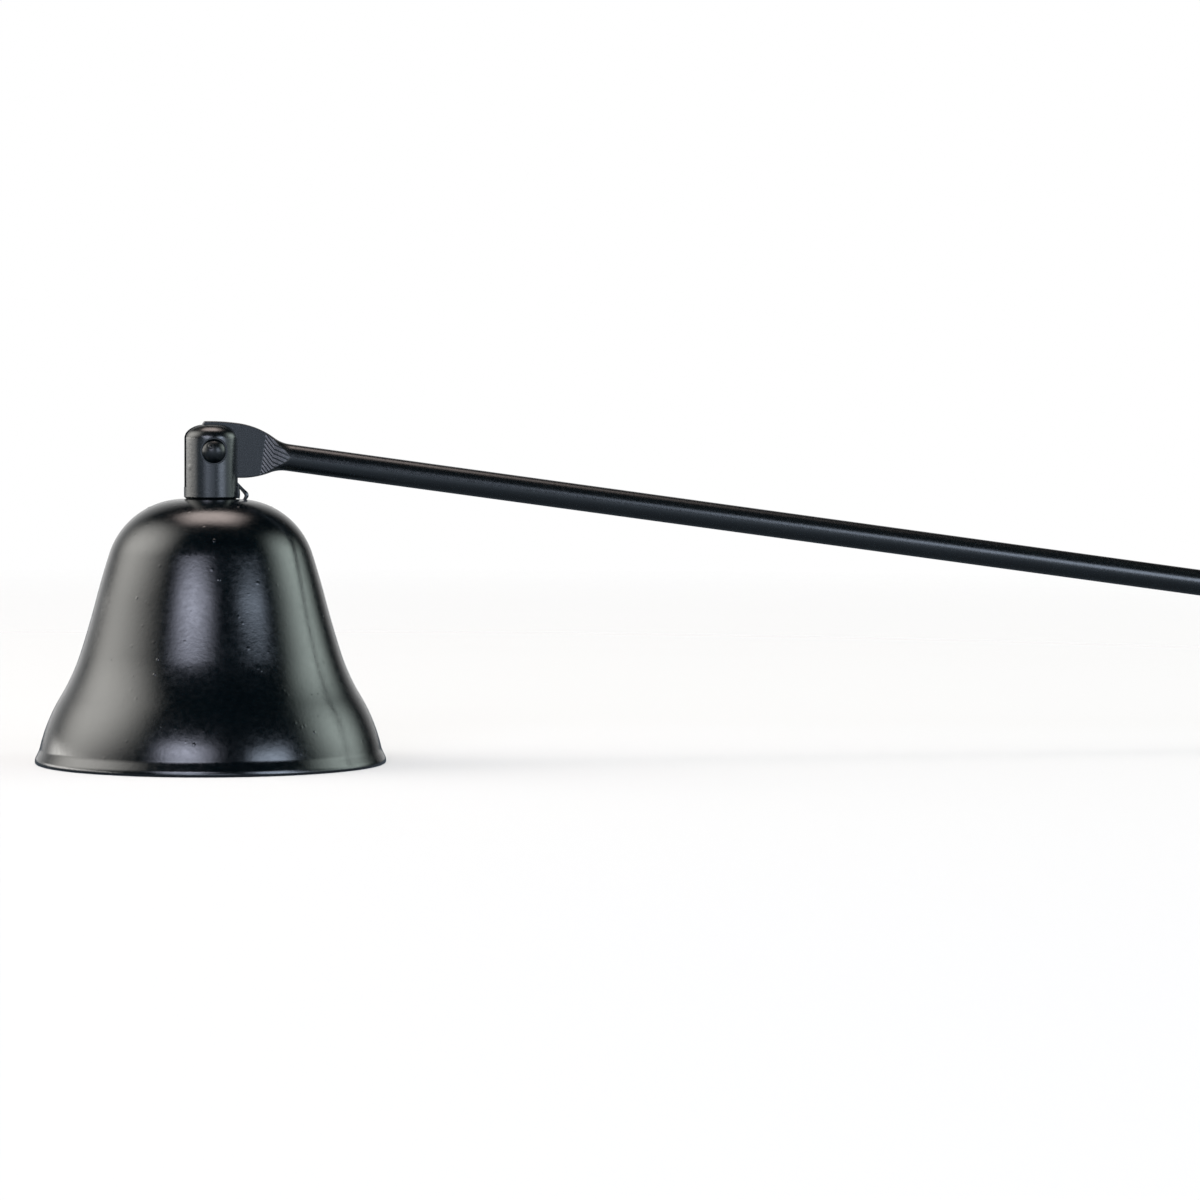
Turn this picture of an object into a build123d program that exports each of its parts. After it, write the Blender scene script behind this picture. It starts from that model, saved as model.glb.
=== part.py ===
"""Candle snuffer: a spun bell under a slotted post, swinging on a rivet at the end of a long rod handle.

Frame: the origin is the centre of the bell's mouth on the table, +Z runs up the axis of the bell,
and the handle runs out along +X. The pivot runs along Y. All sizes are in millimetres and degrees.
"""

import os
from math import acos, asin, atan2, ceil, cos, degrees, hypot, radians, sin, sqrt, tan

from build123d import *

# Stock that the snuffer is made from
ROD_DIAMETER = 3.175
POST_DIAMETER = 6.35
SHEET = 0.8

# Bell: a flat seat, one round shoulder, a straight flank, a waist that flares, a hip and a rolled rim
BELL_DIAMETER = 41.275
BELL_HEIGHT = 31.1
SEAT_RADIUS = 3.15
SHOULDER_RADIUS = 9.24
FLANK_SLOPE = 15.6
FLANK_LENGTH = 10.68
WAIST_RADIUS = 23.9
FLARE_SLOPE = 31.2
HIP_RADIUS = 21.45
SKIRT_SLOPE = 13.5
RIM_SLOPE = 33.5
RIM_FLARE_RADIUS = 3.2
OUTER_BAND_SAG = 0.07
INNER_BAND_SAG = 0.3

# Post: a turned round with a rounded top, sawn down the middle to make two ears
POST_TOP = 39.85
CORNER_RADIUS = 1.35
CORNER_TURN = 48.0
CROWN_RADIUS = 2.7
CAP_BAND_SAG = 0.03
SLOT_WIDTH = 1.75
SLOT_FLOOR = 32.5
SPOT_FACE_DIAMETER = 3.2
SPOT_FACE_DEPTH = 0.45

# Rivet through the ears: a made dome in front and a formed dome behind
PIVOT_HEIGHT = 36.75
RIVET_DIAMETER = 1.6
RIVET_HOLE_DIAMETER = 1.64
RIVET_HEAD_DIAMETER = 2.85
RIVET_HEAD_HEIGHT = 1.0
FORMED_HEAD_DIAMETER = 2.9
FORMED_HEAD_HEIGHT = 0.8
HEAD_BAND_SAG = 0.05

# Fastening inside the bell: a threaded spigot under the post, a split washer and a hex nut
SPIGOT_DIAMETER = 3.0
SPIGOT_LENGTH = 4.6
SPIGOT_POINT = 0.3
SPIGOT_HOLE_DIAMETER = 3.2
WASHER_DIAMETER = 6.2
WASHER_BORE = 3.1
WASHER_THICKNESS = 0.8
WASHER_GAP = 0.8
WASHER_GAP_SKEW = 20.0
NUT_ACROSS_FLATS = 5.5
NUT_THICKNESS = 2.4
NUT_BORE = 3.04
NUT_CORNER_TURN = 30.0

# Handle: the rod swells to a bulb that is pressed flat between two dies, with an eye for the rivet
HANDLE_REACH = 268.0
AXIS_RISE = 0.46
EYE_DIAMETER = 1.7
PADDLE_END = 2.0
PADDLE_CORNER = 1.25
PADDLE_CORNER_HALF_WIDTH = 2.9
PADDLE_HALF_WIDTH = 3.22
PADDLE_WIDEST = 2.7
PADDLE_SHOULDER_RADIUS = 9.5
PADDLE_BLEND_RADIUS = 4.0
PADDLE_THICKNESS = 1.35
PADDLE_EDGE_BREAK = 0.12
FLAT_END = 6.1
RAMP_KINK = 7.2
RAMP_KINK_HALF_THICKNESS = 1.12

# Sizes that follow from the ones above
rod_radius = ROD_DIAMETER / 2
post_radius = POST_DIAMETER / 2
bell_radius = BELL_DIAMETER / 2
spot_face_plane = post_radius - SPOT_FACE_DEPTH
crown_inside = BELL_HEIGHT - SHEET
washer_bottom = crown_inside - WASHER_THICKNESS
nut_bottom = washer_bottom - NUT_THICKNESS
nut_corner_radius = NUT_ACROSS_FLATS / sqrt(3)
nut_corner_depth = nut_corner_radius - NUT_ACROSS_FLATS / 2
paddle_drop = PADDLE_HALF_WIDTH - rod_radius
paddle_turn = degrees(acos(1 - paddle_drop / (PADDLE_SHOULDER_RADIUS + PADDLE_BLEND_RADIUS)))
ramp_end = PADDLE_WIDEST + (PADDLE_SHOULDER_RADIUS + PADDLE_BLEND_RADIUS) * sin(radians(paddle_turn))
corner_rise_share = sin(radians(CORNER_TURN))
corner_foot = POST_TOP - CORNER_RADIUS * corner_rise_share - CROWN_RADIUS * (1 - corner_rise_share)
pivot = Vector(0, 0, PIVOT_HEIGHT)
pivot_axis = Axis(pivot, (0, 1, 0))

# At rest the tip of the handle lies on the same table as the rim of the bell
tip_centre = HANDLE_REACH - rod_radius
decline = asin((PIVOT_HEIGHT - rod_radius) / hypot(tip_centre, AXIS_RISE)) + atan2(AXIS_RISE, tip_centre)
rod_direction = Vector(cos(decline), 0, -sin(decline))
rod_normal = Vector(sin(decline), 0, cos(decline))
rod_start = pivot + AXIS_RISE * rod_normal
rod_axis = Axis(rod_start, rod_direction)
rod_side_plane = Plane(origin=rod_start, x_dir=rod_direction, z_dir=(0, -1, 0))
rod_top_plane = Plane(origin=rod_start, x_dir=rod_direction, z_dir=rod_normal)
eye_plane = Plane(origin=pivot, x_dir=rod_direction, z_dir=(0, -1, 0))

# Front and back of the post, looking square at the pivot from outside
front_of_post = Plane(origin=pivot - Vector(0, post_radius, 0), x_dir=(1, 0, 0), z_dir=(0, -1, 0))
back_of_post = Plane(origin=pivot + Vector(0, post_radius, 0), x_dir=(-1, 0, 0), z_dir=(0, 1, 0))


def spun_bands(arc, sag):
    """Points that divide an arc into the narrow cone bands that a round form is turned in."""
    band = 2 * arc.radius * acos(1 - sag / arc.radius)
    count = ceil(arc.length / band)
    return [arc @ (step / count) for step in range(1, count + 1)]


def bell_side(inset, sag):
    """Points down one side of the sheet, from the hole in the crown to the end of the hip, on lines and arcs."""
    with BuildLine():
        top = BELL_HEIGHT - inset
        seat = Line((SPIGOT_HOLE_DIAMETER / 2, top), (SEAT_RADIUS, top))
        shoulder = JernArc(seat @ 1, seat % 1, SHOULDER_RADIUS - inset, FLANK_SLOPE - 90)
        flank = Line(shoulder @ 1, shoulder @ 1 + FLANK_LENGTH * (shoulder % 1))
        waist = JernArc(flank @ 1, flank % 1, WAIST_RADIUS + inset, FLARE_SLOPE - FLANK_SLOPE)
        hip = JernArc(waist @ 1, waist % 1, HIP_RADIUS - inset, SKIRT_SLOPE - FLARE_SLOPE)
    bands = [*spun_bands(shoulder, sag), flank @ 1, *spun_bands(waist, sag), *spun_bands(hip, sag)]
    return [seat @ 0, seat @ 1, *bands]


def bell_rim(start):
    """Points round the rim, which flares, rolls over until it is upright and turns in under itself."""
    with BuildLine():
        flare = JernArc(start, skirt_way, RIM_FLARE_RADIUS, RIM_SLOPE - SKIRT_SLOPE)
        roll_radius = (bell_radius - (flare @ 1).X) / (1 - cos(radians(RIM_SLOPE)))
        roll = JernArc(flare @ 1, flare % 1, roll_radius, -RIM_SLOPE)
        foot = JernArc(roll @ 1, roll % 1, (roll @ 1).Y, -90)
    return [point for arc in (flare, roll, foot) for point in spun_bands(arc, OUTER_BAND_SAG)]


def post_cap():
    """Points over the rounded top of the post, from its side to its small flat."""
    with BuildLine():
        corner = JernArc((post_radius, corner_foot), (0, 1), CORNER_RADIUS, CORNER_TURN)
        crown = JernArc(corner @ 1, corner % 1, CROWN_RADIUS, 90 - CORNER_TURN)
    return [corner @ 0, *spun_bands(corner, CAP_BAND_SAG), *spun_bands(crown, CAP_BAND_SAG)]


def rivet_head(seat, tip):
    """Points over a domed head of the rivet, from its seat to its tip on the pivot."""
    with BuildLine():
        dome = TangentArc(tip, seat, tangent=(0, 1))
    return [*reversed(spun_bands(dome, HEAD_BAND_SAG)[:-1]), tip]


# The two sides of the bell's sheet, and the foot of its inner side on the table
skirt_way = Vector(sin(radians(SKIRT_SLOPE)), -cos(radians(SKIRT_SLOPE)))
outer_side = bell_side(0, OUTER_BAND_SAG)
inner_side = bell_side(SHEET, INNER_BAND_SAG)
inner_foot = inner_side[-1] + inner_side[-1].Y / cos(radians(SKIRT_SLOPE)) * skirt_way

# Bell, spun from sheet
with BuildPart() as bell:
    with BuildSketch(Plane.XZ):
        with BuildLine():
            Polyline(*outer_side, *bell_rim(outer_side[-1]), inner_foot, *reversed(inner_side), close=True)
        make_face()
    revolve(axis=Axis.Z)
bell.part.label = "bell"

# Post with its spigot, slot, spot faces and rivet hole
with BuildPart() as post:
    with BuildSketch(Plane.XZ):
        with BuildLine():
            spigot_end = BELL_HEIGHT - SPIGOT_LENGTH
            Polyline(
                (0, POST_TOP),
                (0, spigot_end),
                (SPIGOT_DIAMETER / 2 - SPIGOT_POINT, spigot_end),
                (SPIGOT_DIAMETER / 2, spigot_end + SPIGOT_POINT),
                (SPIGOT_DIAMETER / 2, BELL_HEIGHT),
                (post_radius, BELL_HEIGHT),
                *post_cap(),
                close=True,
            )
        make_face()
    revolve(axis=Axis.Z)
    with BuildSketch(Plane.YZ):
        with Locations((0, SLOT_FLOOR)):
            Rectangle(SLOT_WIDTH, POST_TOP, align=(Align.CENTER, Align.MIN))
    extrude(amount=post_radius, both=True, mode=Mode.SUBTRACT)
    with Locations(front_of_post, back_of_post):
        CounterBoreHole(RIVET_HOLE_DIAMETER / 2, SPOT_FACE_DIAMETER / 2, SPOT_FACE_DEPTH, depth=post_radius)
post.part.label = "post"

# Rivet, turned about the pivot
with BuildPart() as pivot_rivet:
    with BuildSketch(Plane.YZ):
        with BuildLine():
            front_seat = (-spot_face_plane, PIVOT_HEIGHT + RIVET_HEAD_DIAMETER / 2)
            back_seat = (spot_face_plane, PIVOT_HEIGHT + FORMED_HEAD_DIAMETER / 2)
            front_tip = (-spot_face_plane - RIVET_HEAD_HEIGHT, PIVOT_HEIGHT)
            back_tip = (spot_face_plane + FORMED_HEAD_HEIGHT, PIVOT_HEIGHT)
            Polyline(
                front_seat,
                (-spot_face_plane, PIVOT_HEIGHT + RIVET_DIAMETER / 2),
                (spot_face_plane, PIVOT_HEIGHT + RIVET_DIAMETER / 2),
                back_seat,
            )
            Polyline(back_seat, *rivet_head(back_seat, back_tip))
            Line(back_tip, front_tip)
            Polyline(front_seat, *rivet_head(front_seat, front_tip))
        make_face()
    revolve(axis=pivot_axis)
pivot_rivet.part.label = "pivot_rivet"

# Split washer, gripped between the crown and the nut
with BuildPart() as lock_washer:
    with BuildSketch(Plane.XY.offset(washer_bottom)):
        Circle(WASHER_DIAMETER / 2)
        Circle(WASHER_BORE / 2, mode=Mode.SUBTRACT)
    extrude(amount=WASHER_THICKNESS)
    with BuildSketch(Plane.XZ):
        with Locations((0, washer_bottom + WASHER_THICKNESS / 2)):
            Rectangle(WASHER_GAP, 2 * WASHER_THICKNESS, rotation=WASHER_GAP_SKEW)
    extrude(amount=WASHER_DIAMETER, mode=Mode.SUBTRACT)
lock_washer.part.label = "lock_washer"

# Hex nut on the spigot, with its corners turned down at both ends
with BuildPart() as spigot_nut:
    with BuildSketch(Plane.XY.offset(nut_bottom)):
        RegularPolygon(NUT_ACROSS_FLATS / 2, 6, major_radius=False)
        Circle(NUT_BORE / 2, mode=Mode.SUBTRACT)
    extrude(amount=NUT_THICKNESS)
    with BuildSketch(Plane.XZ):
        with BuildLine():
            nut_middle = nut_bottom + NUT_THICKNESS / 2
            corner_rise = nut_corner_depth * tan(radians(NUT_CORNER_TURN))
            Polyline(
                (0, nut_middle),
                (nut_corner_radius, nut_middle),
                (nut_corner_radius, nut_bottom + corner_rise),
                (NUT_ACROSS_FLATS / 2, nut_bottom),
                (0, nut_bottom),
                close=True,
            )
        make_face()
        mirror(about=Plane.XZ.offset(-nut_middle))
    revolve(axis=Axis.Z, mode=Mode.INTERSECT)
spigot_nut.part.label = "spigot_nut"

# Handle: a turned bulb on the end of the rod, then the dies press it to a paddle and the eye is drilled
with BuildPart() as handle:
    with BuildSketch(rod_side_plane):
        with BuildLine():
            paddle_corner = (-PADDLE_CORNER, PADDLE_CORNER_HALF_WIDTH)
            paddle_widest = (PADDLE_WIDEST, PADDLE_HALF_WIDTH)
            end = TangentArc((-PADDLE_END, 0), paddle_corner, tangent=(0, 1))
            TangentArc(paddle_widest, paddle_corner, tangent=(-1, 0))
            narrowing = JernArc(paddle_widest, (1, 0), PADDLE_SHOULDER_RADIUS, -paddle_turn)
            blend = JernArc(narrowing @ 1, narrowing % 1, PADDLE_BLEND_RADIUS, paddle_turn)
            rod = Line(blend @ 1, (tip_centre, rod_radius))
            tip = JernArc(rod @ 1, rod % 1, rod_radius, -90)
            Line(tip @ 1, end @ 0)
        make_face()
    revolve(axis=rod_axis)
    with BuildSketch(rod_top_plane):
        with BuildLine():
            Polyline(
                (-PADDLE_END - 1, 2 * PADDLE_HALF_WIDTH),
                (-PADDLE_END - 1, PADDLE_THICKNESS / 2),
                (FLAT_END, PADDLE_THICKNESS / 2),
                (RAMP_KINK, RAMP_KINK_HALF_THICKNESS),
                (ramp_end, rod_radius),
                (ramp_end, 2 * PADDLE_HALF_WIDTH),
                close=True,
            )
        make_face()
        mirror(about=Plane.XZ)
    extrude(amount=2 * PADDLE_HALF_WIDTH, both=True, mode=Mode.SUBTRACT)
    paddle_rims = handle.faces().filter_by(Plane.XZ).edges().filter_by(GeomType.LINE, reverse=True)
    chamfer(paddle_rims, PADDLE_EDGE_BREAK)
    with Locations(eye_plane):
        Hole(EYE_DIAMETER / 2)
handle.part.label = "handle"

os.makedirs("parts", exist_ok=True)
for piece in (bell, post, pivot_rivet, lock_washer, spigot_nut, handle):
    export_step(piece.part, f"parts/{piece.part.label}.step")
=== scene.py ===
"""Candle snuffer in black paint: a spun bell, a slotted post, a rivet and a long pressed rod.

Sizes in the classes are millimetres and degrees, as in the part's source, and every mesh is built
in metres in the part's own frame: the bell's mouth is at the origin, +Z is up its axis, and the
handle runs out along +X.
"""

import logging
import math
from dataclasses import dataclass, field
from enum import Enum

import bmesh
import bpy
import numpy as np
from bpy.types import Material, Mesh, Node, NodeSocket, NodeTree, Object
from mathutils import Matrix, Vector


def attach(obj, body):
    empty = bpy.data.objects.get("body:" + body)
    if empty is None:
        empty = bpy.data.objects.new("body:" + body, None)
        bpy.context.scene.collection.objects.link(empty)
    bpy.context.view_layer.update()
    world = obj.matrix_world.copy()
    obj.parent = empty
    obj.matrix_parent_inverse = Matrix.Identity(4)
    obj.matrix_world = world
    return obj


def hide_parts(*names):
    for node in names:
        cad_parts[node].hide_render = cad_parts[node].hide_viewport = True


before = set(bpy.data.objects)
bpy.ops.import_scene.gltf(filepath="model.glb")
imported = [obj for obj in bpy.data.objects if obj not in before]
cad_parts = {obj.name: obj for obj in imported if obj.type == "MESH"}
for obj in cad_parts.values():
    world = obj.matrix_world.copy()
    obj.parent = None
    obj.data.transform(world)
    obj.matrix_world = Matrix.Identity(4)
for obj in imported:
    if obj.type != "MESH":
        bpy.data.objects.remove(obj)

MM = 0.001
FULL_TURN = 2.0 * math.pi
PIVOT_HEIGHT = 36.75
SHARP_ANGLE = math.radians(28.0)
WELD = 2e-8

log = logging.getLogger("snuffer")
Point = tuple[float, float]
Colour = tuple[float, float, float]
Face = tuple[int, ...]


class Body(Enum):
    """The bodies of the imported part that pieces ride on."""

    BELL = "bell_body"
    HANDLE = "handle_body"


class Slot(Enum):
    """The record's material slots."""

    BELL = "bell_paint"
    POST = "post_paint"
    RIVET = "rivet_paint"
    HANDLE = "handle_paint"
    FASTENER = "fastener_paint"


class Kind(Enum):
    """The two kinds of node group that the script builds."""

    GEOMETRY = "GeometryNodeTree"
    SHADER = "ShaderNodeTree"


# Drawing and mesh helpers


@dataclass
class Stroke:
    """A section drawn with one pen stroke of lines and tangent arcs, in millimetres.

    Attributes:
        x: Where the pen is, across.
        y: Where the pen is, up.
        heading: Which way it points, in degrees from +x towards +y.
        points: The points drawn so far.
    """

    x: float
    y: float
    heading: float = 0.0
    points: list[Point] = field(default_factory=list)

    def __post_init__(self) -> None:
        """Puts the first point down."""
        self.points.append((self.x, self.y))

    def to(self, x: float, y: float, steps: int = 1) -> "Stroke":
        """Draws a straight line to a point and turns the pen along it.

        Args:
            x: Across, at the end.
            y: Up, at the end.
            steps: How many pieces the line has.

        Returns:
            The stroke itself.
        """
        across, up = x - self.x, y - self.y
        for step in range(1, steps + 1):
            share = step / steps
            self.points.append((self.x + across * share, self.y + up * share))
        self.heading = math.degrees(math.atan2(up, across))
        self.x, self.y = x, y
        return self

    def forward(self, length: float, steps: int = 1) -> "Stroke":
        """Draws a straight line ahead.

        Args:
            length: How long it is.
            steps: How many pieces it has.

        Returns:
            The stroke itself.
        """
        turn = math.radians(self.heading)
        return self.to(self.x + length * math.cos(turn), self.y + length * math.sin(turn), steps)

    def arc(self, radius: float, turn: float, steps: int) -> "Stroke":
        """Draws an arc that leaves along the heading.

        Args:
            radius: Radius of the arc.
            turn: Degrees turned, to the left if positive.
            steps: How many pieces the arc has.

        Returns:
            The stroke itself.
        """
        side = math.copysign(90.0, turn)
        aim = math.radians(self.heading + side)
        x, y = self.x + radius * math.cos(aim), self.y + radius * math.sin(aim)
        for step in range(1, steps + 1):
            spoke = math.radians(self.heading - side + turn * step / steps)
            self.points.append((x + radius * math.cos(spoke), y + radius * math.sin(spoke)))
        self.x, self.y = self.points[-1]
        self.heading += turn
        return self


def link(obj: Object) -> Object:
    """Puts an object into the scene and gives it back."""
    bpy.context.scene.collection.objects.link(obj)
    return obj


def new_object(name: str, mesh: Mesh) -> Object:
    """Makes an object at the origin and unturned, with its place in its mesh."""
    mesh.name = name
    return link(bpy.data.objects.new(name, mesh))


def mesh_from(
    name: str, points: np.ndarray, faces: list[Face], edges: list[Face] | None = None
) -> Mesh:
    """Makes a mesh from points in millimetres.

    Args:
        name: Name of the mesh.
        points: One row of x, y and z for each vertex.
        faces: Vertex numbers of each face.
        edges: Vertex numbers of each edge that has no face.

    Returns:
        The mesh, in metres.
    """
    mesh = bpy.data.meshes.new(name)
    mesh.from_pydata((points * MM).tolist(), edges or [], faces)
    return mesh


def grid_faces(rows: int, around: int) -> list[Face]:
    """Lists the four-sided faces of rings of vertices laid one after the other.

    Args:
        rows: How many rings there are.
        around: How many vertices each ring has.

    Returns:
        Vertex numbers of each face.
    """
    faces = []
    for low in range(0, (rows - 1) * around, around):
        high = low + around
        for step in range(around):
            after = (step + 1) % around
            faces.append((low + step, low + after, high + after, high + step))
    return faces


def angles_round(around: int) -> np.ndarray:
    """Gives angles spread evenly over a full turn."""
    return np.linspace(0.0, FULL_TURN, around, endpoint=False)


def circle(radius: float, around: int) -> np.ndarray:
    """Gives the points of a circle, across and up."""
    spin = angles_round(around)
    return np.stack([radius * np.cos(spin), radius * np.sin(spin)], axis=1)


def prism(name: str, outline: np.ndarray, low: float, high: float) -> Mesh:
    """Makes a closed solid that has one outline from end to end.

    Args:
        name: Name of the solid.
        outline: Points across and up, in order round it.
        low: Where it starts along +z.
        high: Where it ends along +z.

    Returns:
        Its mesh.
    """
    count = len(outline)
    points = np.concatenate([np.c_[outline, np.full(count, level)] for level in (low, high)])
    ends = [tuple(range(count)), tuple(range(count, 2 * count))]
    return mesh_from(name, points, grid_faces(2, count) + ends)


def tidy(mesh: Mesh) -> Mesh:
    """Merges doubles, turns every face outwards, and shades smooth with the hard edges kept.

    Args:
        mesh: The mesh to tidy.

    Returns:
        The same mesh.
    """
    work = bmesh.new()
    work.from_mesh(mesh)
    bmesh.ops.remove_doubles(work, verts=work.verts, dist=WELD)
    bmesh.ops.dissolve_degenerate(work, edges=work.edges, dist=WELD)
    bmesh.ops.recalc_face_normals(work, faces=work.faces)
    work.to_mesh(mesh)
    work.free()
    mesh.shade_smooth()
    mesh.set_sharp_from_angle(angle=SHARP_ANGLE)
    return mesh


def plain_mesh(obj: Object) -> Mesh:
    """Takes the shape that an object's modifiers or bevel give it.

    Args:
        obj: The object.

    Returns:
        A new mesh with no empty material slots.
    """
    depsgraph = bpy.context.evaluated_depsgraph_get()
    mesh = bpy.data.meshes.new_from_object(obj.evaluated_get(depsgraph))
    for index in reversed(range(len(mesh.materials))):
        if mesh.materials[index] is None:
            mesh.materials.pop(index=index)
    return mesh


def settle(obj: Object) -> Object:
    """Turns an object's modifiers into plain mesh.

    Args:
        obj: The object whose modifiers are done.

    Returns:
        The same object, with no modifiers.
    """
    mesh = plain_mesh(obj)
    obj.modifiers.clear()
    obj.data = mesh
    mesh.name = obj.name
    return obj


def cut(obj: Object, cutters: list[Object]) -> None:
    """Cuts solids out of an object, and gives what is laid bare the same finish.

    Args:
        obj: The closed piece that is cut.
        cutters: Closed solids, which are deleted afterwards.
    """
    for cutter in cutters:
        cutter.data.materials.append(obj.data.materials[0])
        modifier = obj.modifiers.new("cut", "BOOLEAN")
        modifier.operation = "DIFFERENCE"
        modifier.solver = "EXACT"
        modifier.object = cutter
    settle(obj)
    for cutter in cutters:
        bpy.data.objects.remove(cutter)
    tidy(obj.data)


def across_pivot() -> Matrix:
    """Gives the place, in metres, that turns the Z axis into the pivot's, from back to front."""
    return Matrix.Translation((0.0, 0.0, PIVOT_HEIGHT * MM)) @ Matrix.Rotation(math.pi / 2, 4, "X")


def drill(name: str, diameter: float, low: float, high: float, around: int) -> Object:
    """Makes a closed round solid on the pivot's axis to cut with.

    Args:
        name: Name of the solid.
        diameter: Its diameter.
        low: Where it starts, in front of the middle.
        high: Where it ends.
        around: How many sides it has.

    Returns:
        The solid.
    """
    mesh = prism(name, circle(diameter / 2, around), low, high)
    mesh.transform(across_pivot())
    return new_object(name, tidy(mesh))


def seat(obj: Object, body: Body, slot: Slot, *nodes: str) -> None:
    """Hands a finished piece to the frame.

    Args:
        obj: The piece.
        body: The body that it rides on.
        slot: The record's slot for its finish. It is not used.
        *nodes: CAD nodes that it stands for.
    """
    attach(obj, body.value)
    if nodes:
        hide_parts(*nodes)
    obj.data.calc_loop_triangles()
    count = len(obj.data.loop_triangles)
    log.info("%s rides on %s with %d triangles", obj.name, body.value, count)


# Node trees


def spaced(name: str) -> str:
    """Gives a socket's name, in which an underscore stands for a space."""
    return name.replace("_", " ")


def result(node: Node) -> NodeSocket:
    """Gives a node's first live output."""
    return next(socket for socket in node.outputs if socket.enabled)


class Nodes:
    """A node tree whose nodes are added, set up and linked in one call each."""

    def __init__(self, tree: NodeTree) -> None:
        """Takes the tree."""
        self.tree = tree

    def feed(self, socket: NodeSocket, source: object) -> None:
        """Feeds an input.

        Args:
            socket: The input.
            source: A socket to link, a value to set, or None to leave it.
        """
        if isinstance(source, NodeSocket):
            self.tree.links.new(source, socket)
        elif source is not None:
            socket.default_value = source

    def node(self, kind: str, *sources: object, **settings: object) -> Node:
        """Adds a node.

        Args:
            kind: Blender's name for the node.
            *sources: What feeds each live input in turn.
            **settings: Properties of the node.

        Returns:
            The node.
        """
        node = self.tree.nodes.new(kind)
        for key, value in settings.items():
            setattr(node, key, value)
        live = [socket for socket in node.inputs if socket.enabled]
        for socket, source in zip(live, sources):
            self.feed(socket, source)
        return node

    def wire(self, node: Node, **sources: object) -> NodeSocket:
        """Feeds a node's inputs by name.

        Args:
            node: The node.
            **sources: What feeds each input, by its name.

        Returns:
            The node's first live output.
        """
        for name, source in sources.items():
            self.feed(node.inputs[spaced(name)], source)
        return result(node)

    def value(self, kind: str, *sources: object, **settings: object) -> NodeSocket:
        """Adds a node, as node does, and gives its first live output."""
        return result(self.node(kind, *sources, **settings))

    def calc(self, operation: str, *sources: object, **settings: object) -> NodeSocket:
        """Adds a Math node and gives its result."""
        return self.value("ShaderNodeMath", *sources, operation=operation, **settings)

    def span(self, source: object, *ends: object, **settings: object) -> NodeSocket:
        """Maps a value from its first and last to a new first and last."""
        return self.value("ShaderNodeMapRange", source, *ends, **settings)

    def blend(self, share: object, first: object, second: object) -> NodeSocket:
        """Mixes two colours."""
        return self.value("ShaderNodeMix", share, first, second, data_type="RGBA")


class Group(Nodes):
    """A node group with named inputs and outputs."""

    def __init__(self, name: str, kind: Kind) -> None:
        """Starts an empty group.

        Args:
            name: Name of the group.
            kind: What it is for.
        """
        super().__init__(bpy.data.node_groups.new(name, kind.value))
        self.start = self.tree.nodes.new("NodeGroupInput")
        self.end = self.tree.nodes.new("NodeGroupOutput")

    def declare(self, side: str, sockets: dict[str, str]) -> "Group":
        """Adds named sockets to the group.

        Args:
            side: INPUT or OUTPUT.
            sockets: Kind of each socket, such as Float, by its name.

        Returns:
            The group itself.
        """
        for name, kind in sockets.items():
            self.tree.interface.new_socket(
                spaced(name), in_out=side, socket_type=f"NodeSocket{kind}"
            )
        return self

    def takes(self, **sockets: str) -> "Group":
        """Adds inputs and gives the group back."""
        return self.declare("INPUT", sockets)

    def gives(self, **sockets: str) -> "Group":
        """Adds outputs and gives the group back."""
        return self.declare("OUTPUT", sockets)

    def given(self, name: str) -> NodeSocket:
        """Gives the socket of a named input."""
        return self.start.outputs[name]

    def put(self, name: str, source: NodeSocket) -> None:
        """Links a socket to a named output."""
        self.tree.links.new(source, self.end.inputs[name])

    def sweep(self, path: NodeSocket, profile: NodeSocket, level: NodeSocket) -> NodeSocket:
        """Sweeps a profile along a path and lifts the closed result.

        Args:
            path: The path's curve.
            profile: The profile's curve.
            level: How far it is lifted.

        Returns:
            The swept form.
        """
        swept = self.wire(self.node("GeometryNodeCurveToMesh", path, profile), Fill_Caps=True)
        lift = self.value("ShaderNodeCombineXYZ", 0.0, 0.0, level)
        return self.wire(self.node("GeometryNodeTransform", swept), Translation=lift)

    def dress(self, name: str, form: NodeSocket) -> NodeTree:
        """Ends a geometry tree: the form is made real and takes the input Paint.

        Args:
            name: Name of the output.
            form: What the tree has made.

        Returns:
            The finished tree.
        """
        real = self.value("GeometryNodeRealizeInstances", form)
        dressed = self.node("GeometryNodeSetMaterial", real)
        self.put(name, self.wire(dressed, Material=self.given("Paint")))
        return self.tree


def grow(obj: Object, tree: NodeTree, **inputs: object) -> Object:
    """Runs a geometry tree on an object and keeps the result as plain mesh.

    Args:
        obj: The object that carries the tree's starting geometry.
        tree: The tree.
        **inputs: Values for the tree's named inputs.

    Returns:
        The same object, with its new mesh.
    """
    modifier = obj.modifiers.new(tree.name, "NODES")
    modifier.node_group = tree
    for item in tree.interface.items_tree:
        if item.in_out == "INPUT" and item.name in inputs:
            modifier[item.identifier] = inputs[item.name]
    return settle(obj)


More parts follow.
